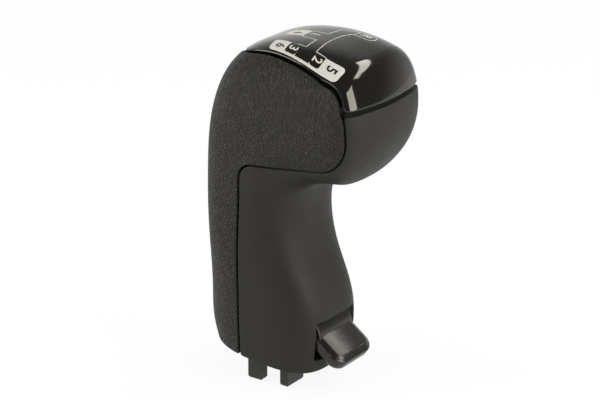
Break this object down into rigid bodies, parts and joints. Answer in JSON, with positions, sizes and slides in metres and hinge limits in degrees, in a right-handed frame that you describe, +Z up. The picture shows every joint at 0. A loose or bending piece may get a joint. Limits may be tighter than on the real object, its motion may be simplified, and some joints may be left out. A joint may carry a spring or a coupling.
{
  "type": "gear shift knob",
  "caption": "Crook-shaped gear shift knob with a grained hide back, a matt front shell, a glossy shift pattern cap and a flip-up range tab over a hidden switch.",
  "frame": {"origin": "centre of the lever bore's mouth, level with the lower edge of the shells", "axes": "+Z up the lever, -Y towards the nose and the range tab, X across the knob"},
  "size_m": [0.0544, 0.0785, 0.141],
  "materials": {
    "grained_hide": "fine grained, semi-matt",
    "matt_shell": "soft matt moulding",
    "gloss_cap": "polished, printed under a clear coat",
    "black_moulding": "as moulded",
    "satin_tab": "satin, rubbed on top",
    "steel": "turned",
    "spring_steel": "bright drawn",
    "zinc_steel": "zinc plated",
    "white_moulding": "natural acetal",
    "brass": "stamped strip"
  },
  "bodies": {
    "knob": {"rear_grip": "grained_hide", "front_shell": "matt_shell", "top_cap": "gloss_cap", "carrier": "black_moulding", "lever_sleeve": "steel", "pivot_pin": "steel", "pin_clip": "spring_steel", "pivot_washers": "white_moulding", "switch_body": "white_moulding", "switch_cover": "white_moulding", "switch_terminals": "brass", "plunger_spring": "spring_steel", "grip_screws": "zinc_steel", "base_screws": "zinc_steel", "cap_screws": "zinc_steel", "switch_screws": "zinc_steel"},
    "range_tab": {"range_tab": "satin_tab"},
    "switch_plunger": {"switch_plunger": "white_moulding"}
  },
  "joints": [
    {"name": "range_hinge", "type": "hinge", "parent": "knob", "child": "range_tab", "pos_m": [0, -0.0155, 0.0126], "axis": [-1, 0, 0], "range_deg": [0, 25]},
    {"name": "plunger_slide", "type": "slide", "parent": "knob", "child": "switch_plunger", "axis": [0, 0, 1], "range_m": [0, 0.0024], "deforming": ["plunger_spring"]}
  ],
  "couplings": [
    {"joint": "plunger_slide", "follows": "range_hinge", "m_per_rad": 0.0055}
  ]
}
